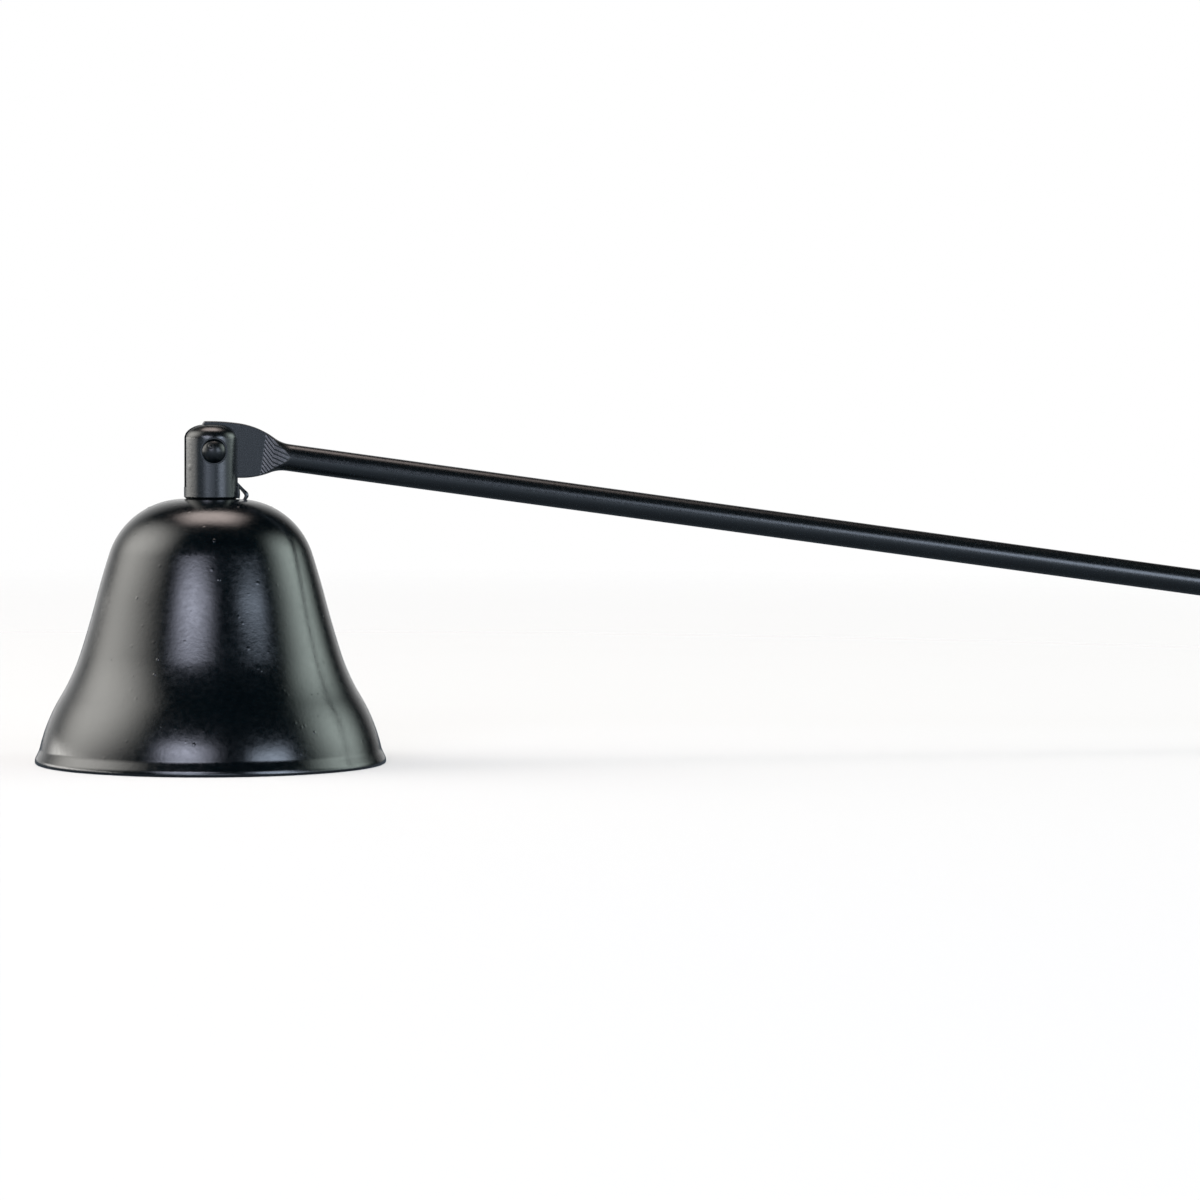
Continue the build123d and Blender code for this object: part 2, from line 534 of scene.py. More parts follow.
class Workshop:
    """The geometry trees that shape the snuffer's turned, threaded, split and scattered forms."""

    THREAD_STEPS = 40
    THREAD_SIDES = 4
    RING_STEPS = 96
    RING_EDGE_STEPS = 3
    # A face looks outwards where its normal, times its place in metres, comes to more than this.
    NIB_FACING = 0.002
    NIB_LOWEST = 0.6
    NIB_ROUNDS = 2
    # Beside the grain's own radius
    NIB_SINK = -0.26
    NIB_HEIGHT = 0.35

    def __init__(self) -> None:
        """Builds every tree once."""
        self.turned_form = self.make_turned_form()
        self.thread_ridge = self.make_thread_ridge()
        self.split_ring = self.make_split_ring()
        self.paint_nibs = self.make_paint_nibs()

    def make_turned_form(self) -> NodeTree:
        """Makes the tree that turns a section about the Z axis.

        Returns:
            The tree. Its section is a mesh whose vertices lie in order on the XZ plane.
        """
        t = Group("turned_form", Kind.GEOMETRY)
        t.takes(Section="Geometry", Points="Int", Around="Int", Paint="Material")
        t.gives(Form="Geometry")
        columns = t.calc("ADD", t.given("Around"), 1.0)
        grid = t.value("GeometryNodeMeshGrid", 1.0, 1.0, t.given("Points"), columns)
        index = t.value("GeometryNodeInputIndex")
        row = t.calc("FLOOR", t.calc("DIVIDE", index, columns))
        column = t.calc("MODULO", index, columns)
        place = t.value("GeometryNodeInputPosition")
        sample = t.node(
            "GeometryNodeSampleIndex",
            t.given("Section"),
            place,
            row,
            data_type="FLOAT_VECTOR",
            domain="POINT",
        )
        angle = t.calc("MULTIPLY", t.calc("DIVIDE", column, t.given("Around")), FULL_TURN)
        turned = t.node("ShaderNodeVectorRotate", rotation_type="Z_AXIS")
        spun = t.wire(turned, Vector=sample.outputs["Value"], Angle=angle)
        moved = t.wire(t.node("GeometryNodeSetPosition", grid), Position=spun)
        merged = t.wire(t.node("GeometryNodeMergeByDistance", moved), Distance=WELD)
        return t.dress("Form", merged)

    def make_thread_ridge(self) -> NodeTree:
        """Makes the tree that winds a thread's ridge round the Z axis.

        Returns:
            The tree.
        """
        t = Group("thread_ridge", Kind.GEOMETRY)
        t.takes(Start="Geometry", Turns="Float", Radius="Float", Pitch="Float", Foot="Float")
        t.takes(Paint="Material").gives(Ridge="Geometry")
        turns, radius, pitch = (t.given(name) for name in ("Turns", "Radius", "Pitch"))
        height = t.calc("MULTIPLY", turns, pitch)
        spiral = t.value(
            "GeometryNodeCurveSpiral", self.THREAD_STEPS, turns, radius, radius, height
        )
        profile = t.node("GeometryNodeCurvePrimitiveCircle", self.THREAD_SIDES, mode="RADIUS")
        crest = t.wire(profile, Radius=t.calc("MULTIPLY", pitch, 0.5))
        return t.dress("Ridge", t.sweep(spiral, crest, t.given("Foot")))

    def make_split_ring(self) -> NodeTree:
        """Makes the tree that bends a flat bar into a ring with a gap.

        Returns:
            The tree.
        """
        t = Group("split_ring", Kind.GEOMETRY)
        t.takes(Start="Geometry", Radius="Float", Width="Float", Thickness="Float", Edge="Float")
        t.takes(Gap="Float", Level="Float", Paint="Material").gives(Ring="Geometry")
        half_gap = t.calc("MULTIPLY", t.given("Gap"), 0.5)
        path = t.wire(
            t.node("GeometryNodeCurveArc", mode="RADIUS"),
            Resolution=self.RING_STEPS,
            Radius=t.given("Radius"),
            Start_Angle=t.calc("SUBTRACT", half_gap, FULL_TURN / 4),
            Sweep_Angle=t.calc("SUBTRACT", FULL_TURN, t.given("Gap")),
        )
        bar = t.wire(
            t.node("GeometryNodeCurvePrimitiveQuadrilateral", mode="RECTANGLE"),
            Width=t.given("Width"),
            Height=t.given("Thickness"),
        )
        eased = t.wire(
            t.node("GeometryNodeFilletCurve", bar, mode="POLY"),
            Count=self.RING_EDGE_STEPS,
            Radius=t.given("Edge"),
        )
        return t.dress("Ring", t.sweep(path, eased, t.given("Level")))

    def make_paint_nibs(self) -> NodeTree:
        """Makes the tree that scatters grains of dust caught in the paint over a surface.

        Returns:
            The tree.
        """
        t = Group("paint_nibs", Kind.GEOMETRY)
        t.takes(Surface="Geometry", Density="Float", Seed="Int", Smallest="Float")
        t.takes(Largest="Float", Paint="Material").gives(Nibs="Geometry")
        seed = t.given("Seed")
        normal = t.value("GeometryNodeInputNormal")
        place = t.value("GeometryNodeInputPosition")
        facing = t.node("ShaderNodeVectorMath", normal, place, operation="DOT_PRODUCT")
        outside = t.calc("GREATER_THAN", facing.outputs["Value"], self.NIB_FACING)
        height = t.node("ShaderNodeSeparateXYZ", place).outputs["Z"]
        above = t.calc("GREATER_THAN", height, self.NIB_LOWEST * MM)
        scatter = t.node("GeometryNodeDistributePointsOnFaces", distribute_method="RANDOM")
        t.wire(
            scatter,
            Mesh=t.given("Surface"),
            Selection=t.calc("MULTIPLY", outside, above),
            Density=t.given("Density"),
            Seed=seed,
        )
        grain = t.value("GeometryNodeMeshIcoSphere", 1.0, self.NIB_ROUNDS)
        flat = t.wire(
            t.node("GeometryNodeTransform", grain),
            Translation=(0.0, 0.0, self.NIB_SINK),
            Scale=(1.0, 1.0, self.NIB_HEIGHT),
        )
        sizes = t.given("Smallest"), t.given("Largest")
        size = t.value("FunctionNodeRandomValue", *sizes, None, seed, data_type="FLOAT")
        spread = t.wire(
            t.node("GeometryNodeInstanceOnPoints", scatter.outputs["Points"]),
            Instance=flat,
            Rotation=scatter.outputs["Rotation"],
            Scale=size,
        )
        return t.dress("Nibs", spread)

    def turn(self, name: str, section: list[Point], around: int, paint: Material) -> Object:
        """Turns a section about the Z axis.

        Args:
            name: Name of the piece.
            section: Points of the section, across and up. A closed one ends where it starts.
            around: How many steps the turn has.
            paint: The finish.

        Returns:
            The turned piece.
        """
        points = np.array([(x, 0.0, z) for x, z in section])
        count = len(section)
        edges = [(step, step + 1) for step in range(count - 1)]
        obj = new_object(name, mesh_from(name, points, [], edges))
        grow(obj, self.turned_form, Points=count, Around=around, Paint=paint)
        tidy(obj.data)
        return obj


# Finishes


class Effects:
    """Shader groups that every painted finish shares.

    A noise is given by its detail and roughness, and a span by the two values of the noise or
    distance between which an effect sets in.
    """

    CLOUD_NOISE = (4.0, 0.6)
    CLOUD_SPAN = (0.32, 0.68)
    HAZE_FINENESS = 9.0
    HAZE_NOISE = (5.0, 0.65)
    HAZE_SPAN = (0.3, 0.7)
    PEEL_NOISE = (4.0, 0.6)
    SPECK_SPAN = (0.02, 0.16)
    RUB_NOISE = (3.0, 0.6)
    RUB_SPAN = (0.38, 0.66)

    def __init__(self) -> None:
        """Builds each group once."""
        self.paint_skin = self.make_paint_skin()
        self.edge_rub = self.make_edge_rub()

    def make_paint_skin(self) -> NodeTree:
        """Makes the group for sprayed paint: cloudy colour, uneven gloss and orange peel.

        Returns:
            The group.
        """
        t = Group("paint_skin", Kind.SHADER)
        t.takes(Thin="Color", Thick="Color", Cloud_Scale="Float", Glossy="Float", Dull="Float")
        t.takes(Peel_Scale="Float", Dust_Scale="Float", Dust_Height="Float")
        t.gives(Colour="Color", Roughness="Float", Height="Float")
        place = t.node("ShaderNodeTexCoord").outputs["Object"]
        cloud_scale = t.given("Cloud Scale")
        clouds = t.value("ShaderNodeTexNoise", place, cloud_scale, *self.CLOUD_NOISE)
        patch = t.span(clouds, *self.CLOUD_SPAN, 0.0, 1.0)
        t.put("Colour", t.blend(patch, t.given("Thin"), t.given("Thick")))
        finer = t.calc("MULTIPLY", cloud_scale, self.HAZE_FINENESS)
        haze = t.value("ShaderNodeTexNoise", place, finer, *self.HAZE_NOISE)
        t.put("Roughness", t.span(haze, *self.HAZE_SPAN, t.given("Glossy"), t.given("Dull")))
        peel = t.value("ShaderNodeTexNoise", place, t.given("Peel Scale"), *self.PEEL_NOISE)
        dust = t.node("ShaderNodeTexVoronoi", place, t.given("Dust Scale"), feature="F1")
        speck = t.span(dust.outputs["Distance"], *self.SPECK_SPAN, t.given("Dust Height"), 0.0)
        t.put("Height", t.calc("ADD", peel, speck))
        return t.tree

    def make_edge_rub(self) -> NodeTree:
        """Makes the group for paint rubbed thin on edges, where a mesh has the attribute rub.

        Returns:
            The group.
        """
        t = Group("edge_rub", Kind.SHADER)
        t.takes(Amount="Float", Patch_Scale="Float").gives(Mask="Float")
        edge = t.node("ShaderNodeAttribute", attribute_name="rub", attribute_type="GEOMETRY")
        place = t.node("ShaderNodeTexCoord").outputs["Object"]
        patch = t.value("ShaderNodeTexNoise", place, t.given("Patch Scale"), *self.RUB_NOISE)
        worn = t.calc("MULTIPLY", edge.outputs["Fac"], t.span(patch, *self.RUB_SPAN, 0.0, 1.0))
        t.put("Mask", t.calc("MULTIPLY", worn, t.given("Amount"), use_clamp=True))
        return t.tree


@dataclass(frozen=True)
class PaintFinish:
    """A black painted finish.

    Attributes:
        name: Name of the material.
        thin: Colour where the coat is thin.
        thick: Colour where the coat is full.
        glossy: Roughness of the glossiest places.
        dull: Roughness of the dullest places.
        cloud: Size of the cloudy patches, in millimetres.
        peel: Size of the orange peel's bumps, in millimetres.
        peel_depth: Height of the orange peel, in millimetres.
        dust: Spacing of the dust in the coat, in millimetres.
        dust_height: Height of the dust beside that of the peel.
        rub: How far edges are rubbed, from 0 to 1.
        rub_patch: Size of the rubbed patches, in millimetres.
        bare: Colour that shows where they are.
        index: Refractive index of the coat.
        sheen: Specular level of the coat.
    """

    name: str
    thin: Colour = (0.0006, 0.0024, 0.0034)
    thick: Colour = (0.0002, 0.0015, 0.0023)
    glossy: float = 0.13
    dull: float = 0.24
    cloud: float = 6.0
    peel: float = 0.42
    peel_depth: float = 0.009
    dust: float = 1.7
    dust_height: float = 1.2
    rub: float = 0.6
    rub_patch: float = 0.8
    bare: Colour = (0.060, 0.054, 0.048)
    index: float = 1.5
    sheen: float = 0.7

    def material(self, effects: Effects) -> Material:
        """Makes the finish's material.

        Args:
            effects: The shared shader groups.

        Returns:
            The material.
        """
        paint = bpy.data.materials.new(self.name)
        paint.use_nodes = True
        nodes = Nodes(paint.node_tree)
        skin = nodes.node("ShaderNodeGroup", node_tree=effects.paint_skin)
        nodes.wire(
            skin,
            Thin=(*self.thin, 1.0),
            Thick=(*self.thick, 1.0),
            Cloud_Scale=1.0 / (self.cloud * MM),
            Glossy=self.glossy,
            Dull=self.dull,
            Peel_Scale=1.0 / (self.peel * MM),
            Dust_Scale=1.0 / (self.dust * MM),
            Dust_Height=self.dust_height,
        )
        rub = nodes.node("ShaderNodeGroup", node_tree=effects.edge_rub)
        mask = nodes.wire(rub, Amount=self.rub, Patch_Scale=1.0 / (self.rub_patch * MM))
        bump = nodes.wire(
            nodes.node("ShaderNodeBump"),
            Strength=1.0,
            Distance=self.peel_depth * MM,
            Height=skin.outputs["Height"],
        )
        nodes.wire(
            nodes.tree.nodes["Principled BSDF"],
            Base_Color=nodes.blend(mask, skin.outputs["Colour"], (*self.bare, 1.0)),
            Roughness=skin.outputs["Roughness"],
            IOR=self.index,
            Specular_IOR_Level=self.sheen,
            Normal=bump,
        )
        return paint


FINISHES = {
    Slot.BELL: PaintFinish("bell_satin_black"),
    Slot.POST: PaintFinish("post_satin_black", glossy=0.21, dull=0.29, cloud=3.0, dust=2.5),
    Slot.RIVET: PaintFinish(
        "rivet_satin_black", glossy=0.28, dull=0.36, cloud=1.2, peel=0.26, sheen=0.5
    ),
    Slot.HANDLE: PaintFinish("handle_satin_black", glossy=0.22, dull=0.31, cloud=4.0, dust=2.2),
    Slot.FASTENER: PaintFinish("fastener_black", glossy=0.36, dull=0.5, cloud=1.5, sheen=0.5),
}


# The snuffer's sub-assemblies


@dataclass
class Bell:
    """The spun bell, its rolled rim and the grains in its paint."""

    diameter: float = 41.275
    height: float = 31.1
    sheet: float = 0.8
    hole: float = 3.2
    seat_radius: float = 3.15
    shoulder_radius: float = 9.18
    brow_slope: float = 17.56
    brow_radius: float = 103.7
    flank_slope: float = 14.56
    flank_radius: float = 122.9
    waist_slope: float = 17.66
    waist_radius: float = 24.1
    flare_slope: float = 31.1
    hip_radius: float = 21.2
    skirt_slope: float = 13.54
    skirt_length: float = 0.12
    rim_slope: float = 25.5
    rim_flare_radius: float = 2.2
    foot_radius: float = 0.25
    lip_break: float = 0.12
    around: int = 288
    seat_steps: int = 2
    bend_steps: tuple[int, ...] = (12, 3, 3, 4, 4)
    outer_fineness: int = 4
    inner_fineness: int = 2
    flare_steps: int = 12
    rim_steps: int = 2
    roll_steps: int = 16
    foot_steps: int = 8
    lip_steps: int = 3
    grain_density: float = 26000.0
    grain_seed: int = 7
    grain_smallest: float = 0.06
    grain_largest: float = 0.40

    def side(self, inset: float, fineness: int) -> Stroke:
        """Draws one side of the sheet from the crown's hole to the start of the skirt.

        Args:
            inset: How far inside the outer surface it lies.
            fineness: How finely the arcs are divided.

        Returns:
            The stroke, pointing down the skirt.
        """
        bends = (
            (self.shoulder_radius - inset, self.brow_slope - 90.0),
            (self.brow_radius - inset, self.flank_slope - self.brow_slope),
            (self.flank_radius + inset, self.waist_slope - self.flank_slope),
            (self.waist_radius + inset, self.flare_slope - self.waist_slope),
            (self.hip_radius - inset, self.skirt_slope - self.flare_slope),
        )
        stroke = Stroke(self.hole / 2, self.height - inset)
        stroke.to(self.seat_radius, self.height - inset, self.seat_steps)
        for (radius, turn), steps in zip(bends, self.bend_steps):
            stroke.arc(radius, turn, steps * fineness)
        return stroke

    def section(self) -> list[Point]:
        """Draws the bell's closed section.

        Returns:
            Points from the crown's hole down the outside, round the rim and up the inside.
        """
        outer = self.side(0.0, self.outer_fineness).forward(self.skirt_length)
        outer.arc(self.rim_flare_radius, self.rim_slope - self.skirt_slope, self.flare_steps)
        # The rim's straight run and roll are as long as brings them to the full width, upright.
        lean = math.radians(self.rim_slope)
        drop, out = outer.y - self.foot_radius, self.diameter / 2 - outer.x
        spread = math.cos(lean) * (1.0 - math.cos(lean)) - math.sin(lean) ** 2
        run = (drop * (1.0 - math.cos(lean)) - out * math.sin(lean)) / spread
        roll = (out * math.cos(lean) - drop * math.sin(lean)) / spread
        outer.forward(run, self.rim_steps).arc(roll, -self.rim_slope, self.roll_steps)
        outer.arc(self.foot_radius, -90.0, self.foot_steps)
        inner = self.side(self.sheet, self.inner_fineness)
        turn = math.radians(self.skirt_slope)
        inner.forward(inner.y / math.cos(turn) - self.lip_break, self.lip_steps)
        outer.to(inner.x + self.lip_break * (1.0 + math.sin(turn)), 0.0)
        return outer.points + inner.points[::-1] + outer.points[:1]

    def build(self, workshop: Workshop, paint: Material) -> None:
        """Makes the bell, and scatters the grains that dust left in its paint.

        Args:
            workshop: The geometry trees.
            paint: Its finish.
        """
        bell = workshop.turn("bell_spun", self.section(), self.around, paint)
        seat(bell, Body.BELL, Slot.BELL, "bell")
        nibs = new_object("bell_paint_grains", bell.data.copy())
        grow(
            nibs,
            workshop.paint_nibs,
            Density=self.grain_density,
            Seed=self.grain_seed,
            Smallest=self.grain_smallest * MM,
            Largest=self.grain_largest * MM,
            Paint=paint,
        )
        nibs.data.shade_smooth()
        seat(nibs, Body.BELL, Slot.BELL)


@dataclass
class Post:
    """The slotted post, with its spigot and the thread on it."""

    diameter: float = 6.35
    top: float = 39.85
    foot: float = 31.1
    corner_radius: float = 1.35
    corner_turn: float = 48.0
    crown_radius: float = 2.7
    foot_break: float = 0.26
    slot_width: float = 1.75
    slot_floor: float = 32.5
    slot_break: float = 0.02
    spot_diameter: float = 3.2
    spot_depth: float = 0.45
    hole: float = 1.64
    spigot_diameter: float = 3.0
    spigot_end: float = 26.5
    spigot_point: float = 0.3
    thread_pitch: float = 0.5
    # Shares of the pitch
    thread_depth: float = 0.45
    thread_lift: float = 0.3
    # How far a cutter stands out of the post
    overrun: float = 1.0
    around: int = 160
    hole_sides: int = 96
    flat_steps: int = 4
    round_steps: int = 20
    side_steps: int = 12
    seat_steps: int = 2
    spigot_steps: int = 4

    def section(self) -> list[Point]:
        """Draws half of the turned blank, from the top down.

        Returns:
            Points from the axis at the top to the axis at the end of the spigot.
        """
        radius, turn = self.diameter / 2, math.radians(self.corner_turn)
        drop = self.corner_radius * (1.0 - math.cos(turn))
        core = self.spigot_diameter / 2 - self.thread_depth * self.thread_pitch
        stroke = Stroke(0.0, self.top)
        stroke.to(radius - drop - self.crown_radius * math.cos(turn), self.top, self.flat_steps)
        stroke.arc(self.crown_radius, self.corner_turn - 90.0, self.round_steps)
        stroke.arc(self.corner_radius, -self.corner_turn, self.round_steps)
        stroke.to(radius, self.foot + self.foot_break, self.side_steps)
        stroke.to(radius - self.foot_break, self.foot)
        stroke.to(core, self.foot, self.seat_steps)
        stroke.to(core, self.spigot_end + self.spigot_point, self.spigot_steps)
        stroke.to(core - self.spigot_point, self.spigot_end)
        stroke.to(0.0, self.spigot_end)
        return stroke.points

    def slot_cutter(self) -> Object:
        """Makes the saw slot's solid, which flares where it leaves the post to break the edges.

        Returns:
            The solid.
        """
        half, reach = self.slot_width / 2, self.diameter / 2 + self.overrun
        edge = math.sqrt((self.diameter / 2) ** 2 - half**2) - self.slot_break
        flare = half + (reach - edge)
        side = [(reach, flare), (edge, half), (-edge, half), (-reach, flare)]
        outline = np.array(side + [(x, -y) for x, y in reversed(side)])
        mesh = prism("slot_cutter", outline, self.slot_floor, self.top + self.overrun)
        return new_object("slot_cutter", tidy(mesh))

    def build(self, workshop: Workshop, paint: Material) -> None:
        """Makes the post, which is turned, sawn, spot faced and drilled, and threads its spigot.

        Args:
            workshop: The geometry trees.
            paint: Its finish.
        """
        post = workshop.turn("post_slotted", self.section(), self.around, paint)
        face, reach = self.diameter / 2 - self.spot_depth, self.diameter / 2 + self.overrun
        bores = (
            ("front_spot", self.spot_diameter, face, reach),
            ("back_spot", self.spot_diameter, -reach, -face),
            ("rivet_hole", self.hole, -reach, reach),
        )
        cut(post, [self.slot_cutter(), *(drill(*bore, self.hole_sides) for bore in bores)])
        seat(post, Body.BELL, Slot.POST, "post")
        start = self.spigot_end + self.spigot_point
        ridge = new_object("spigot_thread", bpy.data.meshes.new("spigot_thread"))
        grow(
            ridge,
            workshop.thread_ridge,
            Turns=(self.foot - start) / self.thread_pitch - 1.0,
            Radius=(self.spigot_diameter - self.thread_pitch) / 2 * MM,
            Pitch=self.thread_pitch * MM,
            Foot=(start + self.thread_lift * self.thread_pitch) * MM,
            Paint=paint,
        )
        tidy(ridge.data)
        seat(ridge, Body.BELL, Slot.POST)


@dataclass
class FootBurr:
    """The thin curl of metal at the foot of the post, beside the slot and clear of the handle.

    Attributes:
        strands: For each strand, the points that draw its line and how thick it is at each.
        thickness: Across a strand where that is 1.
        bevel_steps: How finely a strand is rounded.
        order: Order of the strands' splines.
    """

    strands: tuple[tuple[tuple[float, float, float, float], ...], ...] = (
        (
            (2.91, -1.15, 32.95, 0.7),
            (3.11, -1.15, 32.70, 0.8),
            (3.61, -1.20, 32.15, 0.9),
            (4.08, -1.25, 31.65, 1.2),
            (3.96, -1.27, 31.25, 1.0),
            (3.70, -1.25, 30.95, 0.7),
        ),
        (
            (2.96, -1.15, 32.60, 0.9),
            (3.10, -1.20, 31.90, 1.1),
            (3.01, -1.15, 31.20, 1.0),
        ),
    )
    thickness: float = 0.46
    bevel_steps: int = 3
    order: int = 3

    def build(self, paint: Material) -> None:
        """Makes the curl.

        Args:
            paint: Its finish.
        """
        line = bpy.data.curves.new("post_foot_burr", "CURVE")
        line.dimensions = "3D"
        line.bevel_depth = self.thickness / 2 * MM
        line.bevel_resolution = self.bevel_steps
        line.use_fill_caps = True
        for strand in self.strands:
            spline = line.splines.new("NURBS")
            spline.points.add(len(strand) - 1)
            for knot, (x, y, z, swell) in zip(spline.points, strand):
                knot.co = (x * MM, y * MM, z * MM, 1.0)
                knot.radius = swell
            spline.order_u = self.order
            spline.use_endpoint_u = True
        drawn = link(bpy.data.objects.new("post_foot_burr_line", line))
        mesh = plain_mesh(drawn)
        bpy.data.objects.remove(drawn)
        mesh.materials.append(paint)
        seat(new_object("post_foot_burr", tidy(mesh)), Body.BELL, Slot.POST)


@dataclass
class Rivet:
    """The rivet that the handle swings on."""

    shank: float = 1.6
    seat_plane: float = 2.725
    head_diameter: float = 2.85
    head_height: float = 1.0
    formed_diameter: float = 2.9
    formed_height: float = 0.8
    rim: float = 0.12
    mark: Point = (-0.55, 0.59)
    mark_radius: float = 0.24
    mark_line: float = 0.1
    mark_depth: float = 0.05
    around: int = 144
    dome_steps: int = 36
    rim_steps: int = 8

    def dome(self, diameter: float, height: float) -> list[Point]:
        """Draws half of a head from its tip to its seat.

        Args:
            diameter: Across the head.
            height: How far it stands out.

        Returns:
            Points across and up from the seat.
        """
        half, crown = diameter / 2 - self.rim, height - self.rim
        radius = (half**2 + crown**2) / (2 * crown)
        steep = math.degrees(math.asin(half / radius))
        stroke = Stroke(0.0, height)
        stroke.arc(radius + self.rim, -steep, self.dome_steps)
        stroke.arc(self.rim, steep - 180.0, self.rim_steps)
        return [(x, max(0.0, y)) for x, y in stroke.points]

    def press_mark(self, mesh: Mesh) -> None:
        """Presses the small ring that the setting tool left into the front head.

        Args:
            mesh: The rivet in its place.
        """
        points = np.empty((len(mesh.vertices), 3))
        mesh.vertices.foreach_get("co", points.ravel())
        across, up = self.mark
        away = np.hypot(points[:, 0] / MM - across, points[:, 2] / MM - PIVOT_HEIGHT - up)
        ring = np.exp(-(((away - self.mark_radius) / self.mark_line) ** 2))
        front = points[:, 1] < -self.seat_plane * MM
        points[:, 1] += np.where(front, self.mark_depth * MM * ring, 0.0)
        mesh.vertices.foreach_set("co", points.ravel())
        mesh.update()

    def build(self, workshop: Workshop, paint: Material) -> None:
        """Makes the rivet.

        Args:
            workshop: The geometry trees.
            paint: Its finish.
        """
        plane, half = self.seat_plane, self.shank / 2
        front = [(x, plane + y) for x, y in self.dome(self.head_diameter, self.head_height)]
        back = [(x, -plane - y) for x, y in self.dome(self.formed_diameter, self.formed_height)]
        section = [*front, (half, plane), (half, -plane), *reversed(back)]
        rivet = workshop.turn("pivot_rivet_domed", section, self.around, paint)
        rivet.data.transform(across_pivot())
        self.press_mark(rivet.data)
        seat(rivet, Body.BELL, Slot.RIVET, "pivot_rivet")


@dataclass
class Fastening:
    """The split washer and hex nut that hold the post inside the bell."""

    crown_inside: float = 30.3
    washer_diameter: float = 6.2
    washer_bore: float = 3.1
    washer_thickness: float = 0.8
    washer_gap: float = 0.8
    nut_across_flats: float = 5.5
    nut_thickness: float = 2.4
    nut_bore: float = 3.04
    nut_sink: float = 0.18
    corner_turn: float = 30.0
    edge: float = 0.08
    # Where the middle of a broken edge lies, as shares of the edge
    edge_in: float = 0.2
    edge_up: float = 0.3
    around: int = 144

    def build(self, workshop: Workshop, paint: Material) -> None:
        """Makes the washer and the nut.

        Args:
            workshop: The geometry trees.
            paint: Their finish.
        """
        mean = (self.washer_diameter + self.washer_bore) / 4
        ring = new_object("lock_washer_split", bpy.data.meshes.new("lock_washer_split"))
        grow(
            ring,
            workshop.split_ring,
            Radius=mean * MM,
            Width=(self.washer_diameter - self.washer_bore) / 2 * MM,
            Thickness=self.washer_thickness * MM,
            Edge=self.edge * MM,
            Gap=self.washer_gap / mean,
            Level=(self.crown_inside - self.washer_thickness / 2) * MM,
            Paint=paint,
        )
        tidy(ring.data)
        seat(ring, Body.BELL, Slot.FASTENER, "lock_washer")
        nut = new_object("spigot_nut_hex", self.nut_mesh())
        nut.data.materials.append(paint)
        seat(nut, Body.BELL, Slot.FASTENER, "spigot_nut")

    def nut_mesh(self) -> Mesh:
        """Makes the nut: six flats, corners turned down at both ends, and a countersunk bore.

        Returns:
            The nut's mesh.
        """
        top = self.crown_inside - self.washer_thickness
        bottom = top - self.nut_thickness
        bore, flat = self.nut_bore / 2, self.nut_across_flats / 2
        spin, sixth = angles_round(self.around), FULL_TURN / 6
        reach = flat / np.cos((spin + sixth / 2) % sixth - sixth / 2)
        fall = (reach - flat) * math.tan(math.radians(self.corner_turn))
        # Radius and depth of each ring, from the bore out to the flats
        rings = [
            (bore, self.nut_sink),
            (bore + self.nut_sink, 0.0),
            (flat - self.edge, 0.0),
            (reach - self.edge * self.edge_in, fall + self.edge * self.edge_up),
            (reach, fall + self.edge),
        ]
        lower = [(radius, bottom + depth) for radius, depth in rings]
        upper = [(radius, top - depth) for radius, depth in reversed(rings)]
        points = []
        for radius, level in [*lower, *upper, lower[0]]:
            height = np.broadcast_to(level, spin.shape)
            points.append(np.stack([radius * np.cos(spin), radius * np.sin(spin), height], axis=1))
        faces = grid_faces(len(points), self.around)
        return tidy(mesh_from("spigot_nut_hex", np.concatenate(points), faces))


